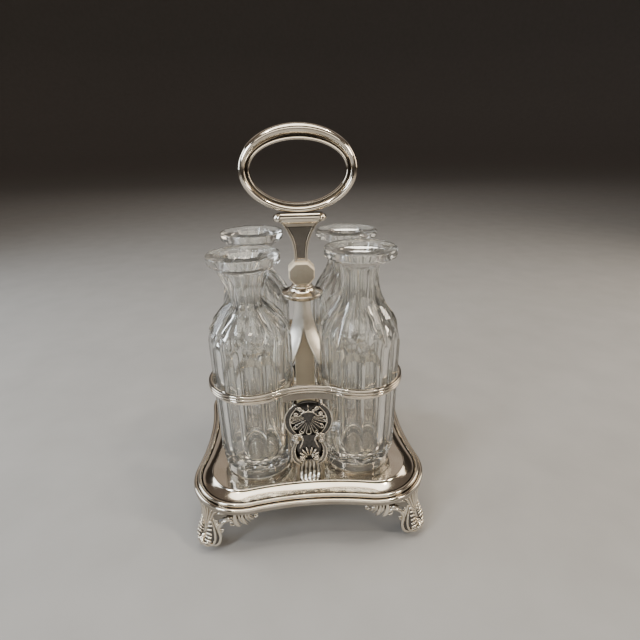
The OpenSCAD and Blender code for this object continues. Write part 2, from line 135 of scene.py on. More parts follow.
class Shape:
    """Closed surfaces, in millimetres, that together make one piece."""

    def __init__(self):
        self.points, self.faces, self.shade_and_patina, self.count = [], [], [], 0

    def add(self, points, faces, shade_and_patina=0.0):
        """The last argument, from 0 to 1, is how sheltered each point is, so how much painted shade
        and patina it gets.
        """
        points = np.asarray(points, float).reshape(-1, 3)
        self.faces += [tuple(i + self.count for i in face) for face in faces]
        self.points.append(points)
        self.shade_and_patina.append(np.broadcast_to(shade_and_patina, len(points)).astype(float))
        self.count += len(points)

    def loft(self, rings, shade_and_patina=0.0, ends=True):
        """A skin over closed rings of equal length, with flat ends, or joined end to end."""
        rings = np.asarray(rings, float)
        rows, columns = rings.shape[:2]
        faces = quads(rows, columns, not ends)
        if ends:
            faces.append(tuple(range(columns)))
            faces.append(tuple(range((rows - 1) * columns, rows * columns)))
        if np.ndim(shade_and_patina) < 2:
            shade_and_patina = np.repeat(np.broadcast_to(shade_and_patina, rows), columns)
        self.add(rings, faces, np.ravel(shade_and_patina))

    def revolve(self, profile, steps=96, shade_and_patina=0.0):
        """A solid turned on the Z axis. The profile lists (radius, height), from axis to axis."""
        t = circle(steps)
        rings = [level(np.c_[r * np.cos(t), r * np.sin(t)], z) for r, z in profile[1:-1]]
        tips = [(0, 0, profile[0][1]), (0, 0, profile[-1][1])]
        shade = np.broadcast_to(shade_and_patina, len(profile))
        self.add(np.concatenate(rings + [tips]), tipped(len(rings), steps),
                 np.concatenate([np.repeat(shade[1:-1], steps), shade[[0, -1]]]))

    def tube(self, path, radii, up=(0, 1, 0), flat=1.0, sides=10, shade_and_patina=0.0):
        """A bar along a path whose radius follows radii and closes to a point at both ends."""
        path = np.asarray(path, float)
        radii = stretched(radii, len(path))
        along = np.gradient(path, axis=0)
        along /= np.linalg.norm(along, axis=1)[:, None]
        side = np.cross(along, np.asarray(up, float))
        side /= np.linalg.norm(side, axis=1)[:, None]
        lift = np.cross(side, along)
        t = circle(sides)
        rings = (path[:, None] + (radii[:, None] * np.cos(t))[..., None] * side[:, None]
                 + (radii[:, None] * flat * np.sin(t))[..., None] * lift[:, None])
        tips = [path[0] - along[0] * radii[0] * TIP, path[-1] + along[-1] * radii[-1] * TIP]
        self.add(np.concatenate([rings.reshape(-1, 3), tips]), tipped(len(path), sides), shade_and_patina)

    def mirrored(self):
        """Doubles the shape across the plane x = 0."""
        points = np.concatenate(self.points)
        self.add(points * (-1, 1, 1), self.faces[:], np.concatenate(self.shade_and_patina))
        return self

    def shade_patina(self, depth):
        """Darkens points with painted shade and patina by depth, a function of place from 0 at the
        face to 1 in the hollows.
        """
        points = np.concatenate(self.points)
        self.shade_and_patina = [np.maximum(np.concatenate(self.shade_and_patina), np.clip(depth(points), 0, 1))]

    def move(self, function):
        """Puts every point where the function sends it."""
        self.points = [function(np.concatenate(self.points))]


def piece(name, shape, nodes, material, body="frame", sharp=32):
    """Makes one Blender object of the shape. It rides on the body and stands for the nodes.

    Edges that turn by more than sharp degrees look sharp; the rest are shaded smooth.
    """
    mesh = bpy.data.meshes.new(name)
    mesh.from_pydata((np.concatenate(shape.points) * MM).tolist(), [], shape.faces)
    # each point's share of painted shade and patina, which the silver materials turn into a dark
    # tone
    shade_and_patina = mesh.attributes.new("shade_and_patina", "FLOAT", "POINT")
    shade_and_patina.data.foreach_set("value", np.concatenate(shape.shade_and_patina))
    mesh.materials.append(material)
    tidy = bmesh.new()
    tidy.from_mesh(mesh)
    bmesh.ops.recalc_face_normals(tidy, faces=tidy.faces)
    tidy.to_mesh(mesh)
    tidy.free()
    mesh.shade_smooth()
    mesh.set_sharp_from_angle(angle=math.radians(sharp))
    made = bpy.data.objects.new(name, mesh)
    scene.collection.objects.link(made)
    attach(made, body)
    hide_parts(*nodes)


def smooth(points, steps):
    """Points along a smooth curve through the given ones, steps to each stretch."""
    p = np.asarray(points, float)
    ends = np.concatenate([[2 * p[0] - p[1]], p, [2 * p[-1] - p[-2]]])
    out = []
    for i in range(1, len(ends) - 2):
        a, b, c, d = ends[i - 1:i + 3]
        for t in np.linspace(0, 1, steps, endpoint=False):
            out.append(0.5 * (2 * b + (c - a) * t + (2 * a - 5 * b + 4 * c - d) * t * t
                              + (3 * b - a - 3 * c + d) * t ** 3))
    return np.array(out + [p[-1]])


def arc(centre, radius, start, stop, steps):
    """Points of an arc in a plane, between two angles in degrees."""
    t = np.radians(np.linspace(start, stop, steps + 1))
    return np.stack([centre[0] + radius * np.cos(t), centre[1] + radius * np.sin(t)], axis=1)


def curl(centre, radius, start, turns, shrink=0.25, steps=18):
    """Points of a spiral in a plane that winds into its centre."""
    t = np.radians(np.linspace(start, start + 360 * turns, steps + 1))
    r = np.linspace(radius, radius * shrink, steps + 1)
    return np.stack([centre[0] + r * np.cos(t), centre[1] + r * np.sin(t)], axis=1)


def lobed_outline(centre, radius, waist, steps=22):
    """A function that gives the outline of four lobes joined by shallow hollows, moved out by s."""
    big = (centre ** 2 - 2 * radius * waist + waist ** 2) / (2 * waist)
    hand = math.degrees(math.asin(centre / (radius + big)))
    middle = centre + radius - waist + big

    def outline(s):
        lobe = arc((centre, centre), radius + s, -hand, 90 + hand, steps)
        hollow = arc((0, middle), big - s, -90 + hand, -90 - hand, steps)[1:-1]
        corner = level(np.concatenate([lobe, hollow]), 0.0)
        return np.concatenate([turned(corner, 90 * q) for q in range(4)])[:, :2]

    return outline


def lobed_sweep(shape, outline, section, shade_and_patina):
    """A closed section, listed as (distance outside the outline, height), swept round it."""
    rings = np.stack([level(outline(s), z) for s, z in section], axis=1)
    shape.loft(rings, np.broadcast_to(shade_and_patina, rings.shape[:2]), ends=False)


# ---------------------------------------------------------------- materials


def nodes_of(name):
    """A new material, its node tree and its shader."""
    material = bpy.data.materials.new(name)
    material.use_nodes = True
    tree = material.node_tree
    return material, tree, tree.nodes["Principled BSDF"]


def link(tree, source, target):
    tree.links.new(source, target)


def noise(tree, scale, detail=3.0, rough=0.5, stretch=(1, 1, 1)):
    """Noise in the object's own metres; scale is in bumps per metre."""
    place = tree.nodes.new("ShaderNodeTexCoord")
    spread = tree.nodes.new("ShaderNodeMapping")
    spread.inputs["Scale"].default_value = stretch
    made = tree.nodes.new("ShaderNodeTexNoise")
    made.inputs["Scale"].default_value = scale
    made.inputs["Detail"].default_value = detail
    made.inputs["Roughness"].default_value = rough
    link(tree, place.outputs["Object"], spread.inputs["Vector"])
    link(tree, spread.outputs["Vector"], made.inputs["Vector"])
    return made.outputs["Fac"]


def ramp(tree, factor, stops):
    """A colour ramp; each stop is (place, colour)."""
    made = tree.nodes.new("ShaderNodeValToRGB")
    for i, (place, colour) in enumerate(stops):
        stop = made.color_ramp.elements[i] if i < 2 else made.color_ramp.elements.new(place)
        stop.position = place
        stop.color = (*colour, 1)
    link(tree, factor, made.inputs["Fac"])
    return made.outputs["Color"]


def to_range(tree, factor, low, high):
    """A factor of 0 to 1 spread between two values."""
    made = tree.nodes.new("ShaderNodeMapRange")
    made.inputs["To Min"].default_value = low
    made.inputs["To Max"].default_value = high
    link(tree, factor, made.inputs["Value"])
    return made.outputs["Result"]


def mixed(tree, factor, a, b):
    """Colour a where the factor is 0 and colour b where it is 1."""
    made = tree.nodes.new("ShaderNodeMix")
    made.data_type = "RGBA"
    link(tree, factor, made.inputs["Factor"])
    link(tree, a, made.inputs["A"])
    link(tree, b, made.inputs["B"])
    return made.outputs["Result"]


def times(tree, a, b):
    made = tree.nodes.new("ShaderNodeMath")
    made.operation = "MULTIPLY"
    link(tree, a, made.inputs[0])
    link(tree, b, made.inputs[1])
    return made.outputs["Value"]


def bump(tree, shader, height, distance):
    """Fine relief on a shader; the distance is its depth in metres."""
    made = tree.nodes.new("ShaderNodeBump")
    made.inputs["Distance"].default_value = distance
    made.inputs["Strength"].default_value = 1.0
    link(tree, height, made.inputs["Height"])
    link(tree, made.outputs["Normal"], shader.inputs["Normal"])


SHADE_AND_PATINA_TONES = ((0.022, 0.023, 0.027), (0.075, 0.073, 0.075))  # the tones of patina and of painted shade, whose bluish tint is a painted reflection


def silver(name, light, deep, rough=(0.08, 0.17), shade_patina=0.9):
    """Old polished silver: cloudy tone, fine wipe marks, and one dark tone for patina where cloths
    don't reach and for painted shade in sheltered places.
    """
    material, tree, shader = nodes_of(name)
    shader.inputs["Metallic"].default_value = 1.0
    clean = ramp(tree, noise(tree, 60, 4), [(0.3, deep), (0.7, light)])
    shade_and_patina_tone = ramp(tree, noise(tree, 900, 3), [(0.3, SHADE_AND_PATINA_TONES[0]), (0.75, SHADE_AND_PATINA_TONES[1])])
    # the dark tone comes in, a little unevenly, where the painted shade and patina attribute is
    # high
    shade_and_patina = tree.nodes.new("ShaderNodeAttribute")
    shade_and_patina.attribute_name = "shade_and_patina"
    strength = to_range(tree, noise(tree, 500, 2), shade_patina * 0.88, shade_patina)
    patchy = times(tree, shade_and_patina.outputs["Fac"], strength)
    link(tree, mixed(tree, patchy, clean, shade_and_patina_tone), shader.inputs["Base Color"])
    streaks = noise(tree, 700, 3, 0.6, (1, 1, 0.15))
    link(tree, to_range(tree, streaks, *rough), shader.inputs["Roughness"])
    bump(tree, shader, noise(tree, 45, 2), 6e-5)
    return material


def steel(name):
    """Dull turned steel, for the fittings under the tray."""
    material, tree, shader = nodes_of(name)
    shader.inputs["Metallic"].default_value = 1.0
    turning = noise(tree, 1500, 3, 0.6, (0.2, 0.2, 6))
    link(tree, ramp(tree, turning, [(0.3, (0.32, 0.31, 0.30)), (0.7, (0.50, 0.49, 0.47))]),
         shader.inputs["Base Color"])
    link(tree, to_range(tree, turning, 0.28, 0.45), shader.inputs["Roughness"])
    bump(tree, shader, turning, 2e-5)
    return material


def cut_glass(name):
    """Clear old lead glass with a trace of haze."""
    material, tree, shader = nodes_of(name)
    shader.inputs["Transmission Weight"].default_value = 0.95
    shader.inputs["IOR"].default_value = 1.54
    shader.inputs["Specular IOR Level"].default_value = 0.5
    cloud = noise(tree, 70, 2)
    link(tree, ramp(tree, cloud, [(0.3, (0.965, 0.965, 0.935)), (0.7, (0.99, 0.988, 0.965))]),
         shader.inputs["Base Color"])
    link(tree, to_range(tree, cloud, 0.0, 0.012), shader.inputs["Roughness"])
    bump(tree, shader, noise(tree, 120, 2), 2e-5)
    return material


def plain_floor(name):
    """Matt pale floor with a faint cloud in it."""
    material, tree, shader = nodes_of(name)
    grain = noise(tree, 25, 4)
    link(tree, ramp(tree, grain, [(0.3, (0.37, 0.365, 0.36)), (0.7, (0.40, 0.395, 0.39))]),
         shader.inputs["Base Color"])
    shader.inputs["Roughness"].default_value = 0.75
    shader.inputs["Specular IOR Level"].default_value = 0.2
    return material


bright_silver = silver("bright_silver", (0.88, 0.81, 0.70), (0.70, 0.62, 0.51))
# cast_silver and satin_silver have paler base colours than bright_silver: painted light that
# brightens the cast ornament and the straps.
cast_silver = silver("cast_silver", (0.94, 0.88, 0.77), (0.74, 0.67, 0.56), (0.12, 0.24), 0.98)
satin_silver = silver("satin_silver", (0.95, 0.91, 0.84), (0.84, 0.79, 0.70), (0.26, 0.34))
# A rougher copy of the silver whose pale base colour is painted light that brightens the column and
# the knop.
rough_silver_painted_lighter = silver("rough_silver_painted_lighter", (0.99, 0.91, 0.77), (0.92, 0.83, 0.68), (0.68, 0.78))
dull_steel = steel("dull_steel")
clear_glass = cut_glass("clear_glass")

# ---------------------------------------------------------------- tray

LOBE_R = 34  # radius of the tray's rounded corners
TRAY_WAIST = 4  # how far its sides bow in
SHEET = 1.2
CREASE = -13.5  # where the flat floor starts to fall, measured out from the tray's edge
tray_outline = lobed_outline(tray_half - LOBE_R, LOBE_R, TRAY_WAIST)


def make_tray():
    """Floor plate and moulded rim: a flat floor, an ogee down and a groove under the border."""
    fall = smooth([(0, 0), (0.5, 0.06), (0.9, 0.32), (1.3, 0.72), (1.9, 1.1), (3.0, 1.6),
                   (4.4, 2.15), (5.9, 2.6), (7.3, 2.9)], 3)
    ogee = [(CREASE + x, floor_top - drop) for x, drop in fall]
    edge = [(-5.9, floor_top - 3.9), (-5.2, floor_top - 4.3), (-1.2, floor_top - 6.4)]
    top = [(CREASE - 0.6, floor_top)] + ogee + edge
    under = [(s - 0.3, z - SHEET) for s, z in reversed(top)]
    flat_line = tray_outline(top[0][0])
    inwards = [level(flat_line * k, floor_top) for k in (0.06, 0.3, 0.6, 0.85)]
    outwards = [level(tray_outline(s), z) for s, z in top + under]
    beneath = [level(flat_line * k, floor_top - SHEET) for k in (0.8, 0.4, 0.06)]
    rings = inwards + outwards + beneath
    plain = len(inwards) + len(top) - len(edge)
    # Painted shade and patina darken the rim's edge under the border; painted shade darkens the
    # underside of the floor a little.
    shade = [0.0] * plain + [0.9] * len(edge) + [0.0] * len(under) + [0.2] * len(beneath)
    shape = Shape()
    shape.loft(rings, shade)
    piece("tray", shape, ["base_floor", "base_rim"], bright_silver)


def make_border():
    """Two reeds and a square lower edge, soldered on the rim."""
    slope = -3.1 / 4.4
    reed_r = 1.38

    def height(s):
        """The sloping face that the reeds lie on."""
        return floor_top - 6.2 + slope * (s + 1.2)

    section = [(-5.3, height(-5.3) - 0.2), (-1.15, border_low + 1.4), (-1.15, border_low),
               (-0.15, border_low), (0, border_low + 0.15), (0, border_low + 1.7)]
    # Painted shade darkens the underside and the lower outer face; painted shade and patina darken
    # the crease at each side of each reed.
    shade = [0.5] * 3 + [0.6] * 3
    for centre in (-1.45, -4.15):
        section += arc((centre, height(centre) + 0.75), reed_r, -12, 156, 14).tolist()
        shade += [0.9, 0.25] + [0.0] * 11 + [0.25, 0.9]
    shape = Shape()
    lobed_sweep(shape, tray_outline, section, shade)
    piece("tray_border", shape, ["base_border"], bright_silver)


# ---------------------------------------------------------------- gallery

rail_lobe = rail_half - well
rail_outline = lobed_outline(well, rail_lobe, well + rail_lobe - rail_mid)


def make_rail():
    """Three reeds, the middle one the boldest."""
    height = rail_high - rail_low
    # Painted shade and patina darken the grooves between the reeds; painted shade darkens the back
    # edge at the bottom.
    section, shade = [(-2.2, rail_low + 0.2)], [0.6]
    for middle, size, sunk in ((0.17, 0.98, 0.2), (0.5, 1.08, 0.0), (0.83, 0.98, 0.2)):
        r = height / 6 * size
        section += arc((-r - sunk, rail_low + height * middle), r, -84, 84, 10).tolist()
        shade += [1.0, 0.9, 0.35] + [0.05] * 5 + [0.35, 0.9, 1.0]
    section.append((-2.2, rail_high - 0.2))
    shade.append(0.0)
    shape = Shape()
    lobed_sweep(shape, rail_outline, section, shade)
    piece("reeded_rail", shape, ["gallery_rail"], bright_silver)


def make_fascia(side, turn):
    """Short band under the rail, bent to the rail's hollow and a little shorter than the CAD's."""
    outline = rail_outline(-1.2)
    front = np.array([p for p in outline if p[1] < 0 and abs(p[0]) < fascia_half + 2])
    front = front[np.argsort(front[:, 0])]
    half = fascia_half - 2
    x = np.linspace(-half, half, 31)
    y = np.interp(x, front[:, 0], front[:, 1])
    section = [(0, 0), (0.5, -0.25), (1.0, -0.3), (1.2, 0), (1.2, 3.6), (1.0, 4.2), (0.2, 4.5),
               (0, 4.2)]
    rings = [[(px, py + 1.0 - out, fascia_low + up) for out, up in section] for px, py in zip(x, y)]
    shape = Shape()
    # Painted shade over the whole band, which sits under the rail.
    shape.loft(rings, 0.72)
    shape.move(lambda p: turned(p, turn))
    piece("band_" + side, shape, ["fascia_" + side], bright_silver)


def make_ring(corner, turn):
    """Thin hoop round a bottle, with softened edges."""
    low, high = z_range("ring_" + corner)
    tall = high - low
    section = [(0, 0.3), (0.1, 0), (RING_WALL - 0.1, 0), (RING_WALL, 0.3), (RING_WALL, tall - 0.3),
               (RING_WALL - 0.1, tall), (0.1, tall), (0, tall - 0.3)]
    rings = []
    for a in circle(120):
        x, y = math.cos(a), math.sin(a)
        radii = [(ring_inner + out, low + up) for out, up in section]
        rings.append([(-well + r * x, -well + r * y, z) for r, z in radii])
    shape = Shape()
    shape.loft(rings, 0.0, ends=False)
    shape.move(lambda p: turned(p, turn))
    piece("bottle_ring_" + corner, shape, ["ring_" + corner], bright_silver)


# ---------------------------------------------------------------- tent of straps and column

STRAP_T = 1.2  # thickness
STRAP_HALF = 5.5  # half of the width
STRAP_NEAR = 4  # distance from the set's axis at the top
strap_far = well * math.sqrt(2) - ring_inner - 0.8  # and at the bottom, against the ring
STRAP_SWEEP = 2.6  # how late a strap turns outwards on its way down


def strap_at(f):
    """A strap's distance from the axis, its height and its slope, at a share f of its fall."""
    reach, fall = strap_far - STRAP_NEAR, strap_top - strap_low
    slope = reach * STRAP_SWEEP * f ** (STRAP_SWEEP - 1) / fall
    return STRAP_NEAR + reach * f ** STRAP_SWEEP, strap_top - fall * f, slope


def make_strap(corner, turn):
    """A strap that starts mitred against its neighbours and sweeps out to its ring."""
    face = [(-1, -0.35), (-0.97, -0.12), (-0.92, 0.0), (-0.7, 0.12), (-0.35, 0.25), (0, 0.3),
            (0.35, 0.25), (0.7, 0.12), (0.92, 0.0), (0.97, -0.12), (1, -0.35)]
    section = face + [(u, -STRAP_T) for u in (1, 0.5, 0, -0.5, -1)]
    rings = []
    for f in np.linspace(0, 1, 49):
        d, z, slope = strap_at(f)
        half = min(d - 0.1, STRAP_HALF)
        n = np.array([1, 0, slope]) / math.hypot(1, slope)
        ring = []
        for u, out in section:
            trim = 1 if out > -STRAP_T else (half - (STRAP_T if half < STRAP_HALF else 0)) / half
            ring.append(np.array([d, u * half * trim, z]) + n * out)
        rings.append(ring)
    shape = Shape()
    shape.loft(rings)
    shape.move(lambda p: turned(p, turn - 135))
    piece("tent_strap_" + corner, shape, ["strap_" + corner], satin_silver)


def make_column():
    """Square column on a small plinth, with its arrises cut back to clear the straps."""
    half, _, top = mm_box("column")[1]
    touch_d, touch_z, slope = strap_at(0.55)

    def section(h, z):
        """The column at height z: a square of half width h with its corners off."""
        room = math.sqrt(2) * (touch_d - STRAP_T - 0.25 - slope * (z - touch_z))
        t = min(h - 0.5, room - h)
        corner = np.array([(h, t, z), (t, h, z)])
        return np.concatenate([turned(corner, 90 * q) for q in range(4)])

    plinth = [(1.6, 0.02), (1.6, 1.4), (1.0, 2.2), (0.35, 2.6), (0, 3.4)]
    levels = [(half + out, floor_top + up) for out, up in plinth]
    narrow = 110  # above here the straps close in on the column
    levels += [(half, z) for z in np.linspace(floor_top + 8, narrow, 6)]
    levels += [(half - 0.02, z) for z in np.linspace(narrow + 2, top, 6)]
    shape = Shape()
    shape.loft([section(h, z) for h, z in levels])
    piece("square_column", shape, ["column"], rough_silver_painted_lighter, sharp=20)


# ---------------------------------------------------------------- handle


def make_collar():
    """Turned collar that holds the straps' tops."""
    low, high = z_range("collar")
    bowl = smooth([(7.4, low), (9.2, low + 0.7), (11.6, low + 2.0), (12.9, low + 3.5)], 5)
    rim = arc((12.8, low + 4.6), 0.75, -70, 90, 8)
    top = smooth([(12.4, low + 5.4), (10.6, low + 5.9), (8.8, low + 6.7), (7.6, high)], 4)
    shape = Shape()
    profile = [(0, low), *np.concatenate([bowl, rim, top]), (0, high)]
    # Painted shade at the middle of the underside and on the top where the neck stands.
    shape.revolve(profile, shade_and_patina=[0.3] + [0.0] * (len(profile) - 3) + [0.5, 0.5])
    piece("turned_collar", shape, ["collar"], bright_silver)


def make_neck():
    """Small turned neck between the collar and the knop."""
    low, high = z_range("neck")
    bead = arc((6.4, low + 0.75), 0.72, -80, 80, 8)
    cove = smooth([(6.2, low + 1.5), (5.6, low + 2.0), (5.6, low + 2.5), (6.0, high)], 4)
    shape = Shape()
    profile = [(0, low), *np.concatenate([bead, cove]), (0, high)]
    shape.revolve(profile, steps=72)
    piece("turned_neck", shape, ["neck"], bright_silver)


def soft_solid(points, width):
    """The convex solid over some points, with its edges rounded."""
    solid = bmesh.new()
    for p in points:
        solid.verts.new(p)
    bmesh.ops.convex_hull(solid, input=solid.verts)
    bmesh.ops.dissolve_limit(solid, angle_limit=0.02, verts=solid.verts, edges=solid.edges)
    bmesh.ops.bevel(solid, geom=solid.edges[:], offset=width, segments=2, affect="EDGES",
                    profile=0.5)
    solid.verts.index_update()
    verts = [tuple(v.co) for v in solid.verts]
    faces = [tuple(v.index for v in f.verts) for f in solid.faces]
    solid.free()
    return verts, faces


def make_knop():
    """Octagonal knop: eight-sided from the front and the back, with a bevel round each face."""
    low, high = z_range("knop")
    half, deep = mm_box("knop")[1][:2]
    middle = (low + high) / 2
    slant = 4.3  # height of the slanting sides
    outline = [(5.0, low), (half, low + slant), (half, high - slant), (slant, high)]
    points = []
    for y, inset in ((deep - 1.5, 0.0), (deep, 1.0)):
        for x, z in outline:
            inner_z = middle + (z - middle) * (1 - inset / 7.2)
            inner_x = x - inset * 0.8
            points += [(sx * inner_x, sy * y, inner_z) for sx in (-1, 1) for sy in (-1, 1)]
    verts, faces = soft_solid(points, 0.3)
    shape = Shape()
    shape.add(verts, faces)
    # Painted shade on the front and back faces.
    shape.shade_patina(lambda p: np.where(np.abs(p[:, 1]) > deep - 0.1, 0.55, 0.0))
    piece("octagonal_knop", shape, ["knop"], rough_silver_painted_lighter, sharp=20)


def make_stem():
    """Tapered stem with two raised threads round a sunk panel, on the front and on the back."""
    low, high = z_range("stem")
    wide, deep = mm_box("stem")[1][:2]
    tall = high - low
    slim = 4.4  # half of the width at the foot of the stem
    relief = [(0, -1.2), (0.06, -0.35), (0.25, -0.08), (0.65, 0.0), (1.05, -0.08), (1.25, -0.42),
              (1.45, -0.08), (1.9, -0.06), (2.15, -0.3), (2.3, -0.85), (2.7, -0.85)]
    rings, shade = [], []
    for f in np.linspace(0, 1, 41):
        half = slim + (wide - slim) * f ** 2.7
        z = low + tall * f
        fill = 1 if min(f * tall, (1 - f) * tall) > 2.2 else 0
        right = [(half - d, deep + (out if d < 1.3 or fill else -0.1)) for d, out in relief]
        front = right + [(-x, y) for x, y in reversed(right)]
        section = front + [(-x, -y) for x, y in front]
        rings.append([(x, -y, z) for x, y in section])
        # Painted shade and patina in the groove between the threads and across the sunk panel.
        dark = [0, 0, 0, 0, 0.1, 0.95 * fill, 0.0, 0, 0.5 * fill, 0.95 * fill, 0.88 * fill]
        shade.append((dark + dark[::-1]) * 2)
    shape = Shape()
    shape.loft(rings, shade)
    piece("threaded_stem", shape, ["stem"], bright_silver)


def make_cap():
    """Oblong moulded cap between the stem and the loop."""
    low, high = z_range("stem_cap")
    tall = high - low
    cove = smooth([(12.4, 3.5, 0), (13.2, 4.2, 0.1), (15.0, 4.6, 0.2)], 3)
    ovolo = smooth([(15.8, 5.0, 0.24), (16.6, 5.3, 0.45), (16.5, 5.3, 0.65), (15.8, 4.9, 0.84)], 5)
    step = smooth([(15.0, 4.3, 0.88), (14.2, 3.7, 1.0)], 2)
    levels = [(half, deep, low + tall * f) for half, deep, f in np.concatenate([cove, ovolo, step])]
    rings = []
    for half, deep, z in levels:
        right = arc((half - deep, 0), deep, -90, 90, 12)
        rings.append(level(np.concatenate([right, -right]), z))
    shape = Shape()
    shape.loft(rings)
    piece("moulded_cap", shape, ["stem_cap"], bright_silver)


def make_loop():
    """Oval loop: a full outer roll, a groove and a thin reed along the inside."""
    low, high = mm_box("handle_loop")
    half_w, half_h, half_d = high[0], (high[2] - low[2]) / 2, high[1]
    centre = (low[2] + high[2]) / 2
    section = [(0, 0), (0.03, 0.42), (0.10, 0.72), (0.20, 0.92), (0.32, 1.0), (0.44, 0.95),
               (0.55, 0.80), (0.63, 0.62), (0.66, 0.40), (0.70, 0.34), (0.76, 0.34), (0.79, 0.44),
               (0.84, 0.58), (0.90, 0.60), (0.96, 0.45), (0.99, 0.22)]
    full = section + [(1, 0)] + [(k, -w) for k, w in reversed(section[1:])]
    # Painted shade and patina in the groove and along its outer side.
    dark = [0.95 if 0.68 < k < 0.77 else 0.3 if 0.6 < k < 0.68 else 0 for k, w in full]
    rings = []
    for a in circle(160):
        s = math.sin(a)
        thick = 7.0 + (2.2 if s > 0 else -0.5) * s * s  # heaviest over the top
        out = np.array([half_w * math.cos(a), half_h * s])
        inward = -np.array([math.cos(a) / half_w, s / half_h])
        inward /= np.linalg.norm(inward)
        ring = []
        for k, w in full:
            p = out + inward * thick * k
            ring.append((p[0], -half_d * w, centre + p[1]))
        rings.append(ring)
    shape = Shape()
    shape.loft(rings, [dark] * len(rings), ends=False)
    piece("oval_loop", shape, ["handle_loop"], bright_silver)


# ---------------------------------------------------------------- cast brackets


def upright(path, out=0.0):
    """A path drawn (across, up) on the bracket's face, lifted out towards the viewer."""
    path = np.asarray(path, float)
    return np.c_[path[:, 0], np.broadcast_to(-np.asarray(out, float), len(path)), path[:, 1]]


def teardrop(shape, root, tip, slim, fat, out):
    """A raised rib that swells from its root to a round tip."""
    root, tip = np.array(root, float), np.array(tip, float)
    path = root + (tip - root) * np.linspace(0, 1, 9)[:, None]
    radii = [slim * 0.4, slim, slim * 1.1, (slim + fat) / 2, fat, fat * 0.9, fat * 0.35]
    shape.tube(upright(path, out), radii)


def hollow_rib(shape, root, tip, width, bead=True):
    """A hollow lobe, dark from the painted shade on the plate behind it, with a thin raised edge
    that runs out, round its end and back.
    """
    root, tip = np.array(root, float), np.array(tip, float)
    along = (tip - root) / np.linalg.norm(tip - root)
    side = np.array([-along[1], along[0]])
    end = tip - along * width
    turn = [end + width * (math.cos(t) * side + math.sin(t) * along)
            for t in np.linspace(0, math.pi, 9)]
    path = [root + side * 0.25, (root + end) / 2 + side * width * 0.62] + turn
    path += [(root + end) / 2 - side * width * 0.62, root - side * 0.25]
    shape.tube(upright(smooth(path, 2), 1.1), [0.12, 0.28, 0.34, 0.42, 0.34, 0.28, 0.12], sides=8)
    if bead:
        dot = [end - along * 0.5, end, end + along * 0.3]
        shape.tube(upright(dot, 1.0), [0.3, 0.5, 0.3], sides=8)


def plate(shape, loop, out, thick):
    """A flat plate, dark all over with painted shade, whose outline lists (across, up), with a
    softened front edge.
    """
    loop = np.asarray(loop, float)
    inner = loop.mean(axis=0) + (loop - loop.mean(axis=0)) * 0.97
    shape.loft([upright(loop, out - thick), upright(loop, out - 0.3), upright(inner, out)], 1.0)


def scroll(shape, path, width, out, fade=1.0):
    """A hollow band darkened with painted shade and patina, with a thin bright edge along each
    side, drawn as (across, up).
    """
    path = np.asarray(path, float)
    along = np.gradient(path, axis=0)
    side = np.c_[-along[:, 1], along[:, 0]] / np.linalg.norm(along, axis=1)[:, None]
    shape.tube(upright(path, out - 0.5), np.asarray(width) * 1.05, flat=0.42, sides=12, shade_and_patina=fade)
    spread = stretched(width, len(path))[:, None]
    for way in (-1, 1):
        edge = upright(path + side * spread * way, out)
        shape.tube(edge, [0.2, 0.4, 0.45, 0.45, 0.4, 0.25], sides=8)


